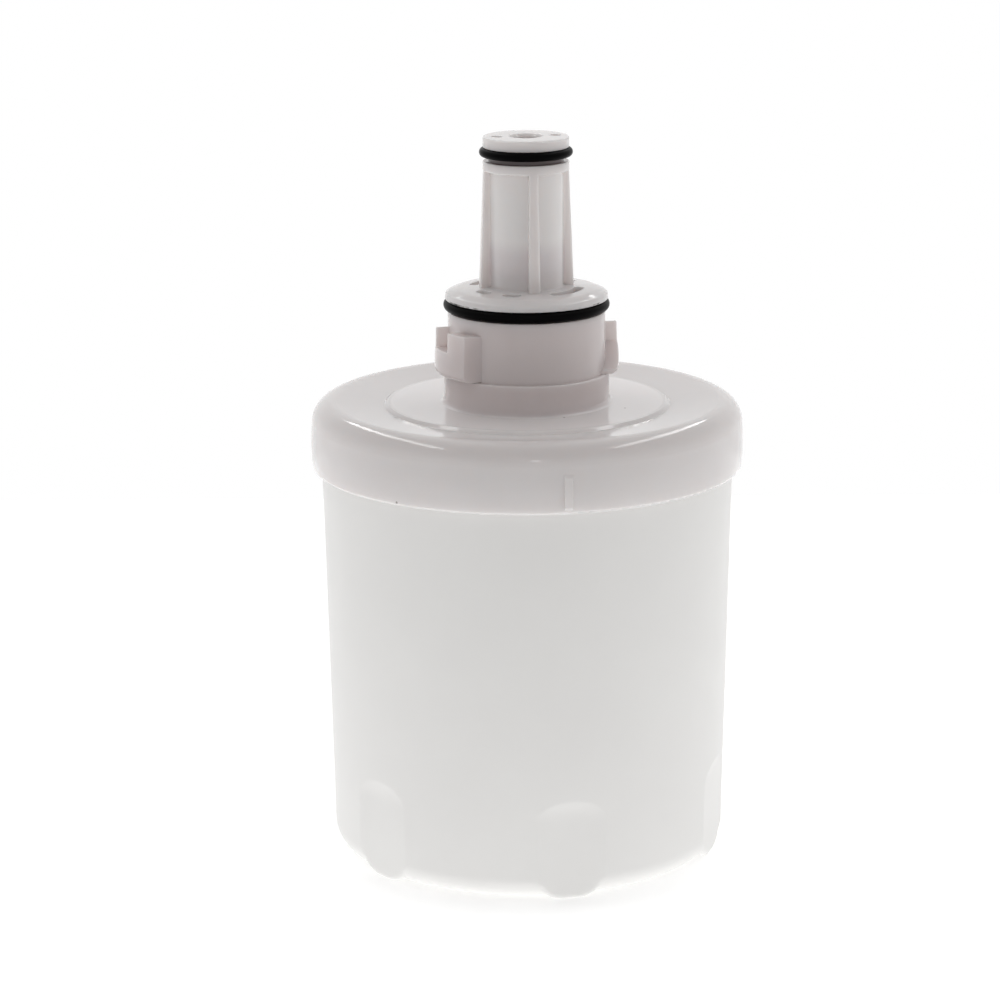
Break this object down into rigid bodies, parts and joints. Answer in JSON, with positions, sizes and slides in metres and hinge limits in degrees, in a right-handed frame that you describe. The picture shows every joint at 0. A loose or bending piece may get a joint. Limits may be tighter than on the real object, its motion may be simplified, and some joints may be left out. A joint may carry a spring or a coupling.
{
  "type": "fridge water filter cartridge",
  "caption": "Twist-in water filter cartridge: drafted white canister with grip flats, welded cap, bayonet neck and ribbed outlet stem with black seals round a carbon block.",
  "frame": {"origin": "centre of the foot, on the surface that the cartridge stands on", "axes": "+Z along the axis from foot to stem, -Y through the alignment mark on the rim, +X and -X through the lugs"},
  "size_m": [0.1076, 0.108, 0.18],
  "materials": {
    "canister_plastic": "fine satin moulded white",
    "head_plastic": "glossy moulded white",
    "seal_rubber": "greased black",
    "pressed_carbon": "porous matte black",
    "fleece": "white felted fleece",
    "end_cap_plastic": "moulded white"
  },
  "bodies": {
    "root": {"canister": "canister_plastic", "head": "head_plastic", "neck_o_ring": "seal_rubber", "stem_o_ring": "seal_rubber", "spigot_o_ring": "seal_rubber", "carbon_block": "pressed_carbon", "prefilter_wrap": "fleece", "top_end_cap": "end_cap_plastic", "bottom_end_cap": "end_cap_plastic"}
  },
  "joints": []
}
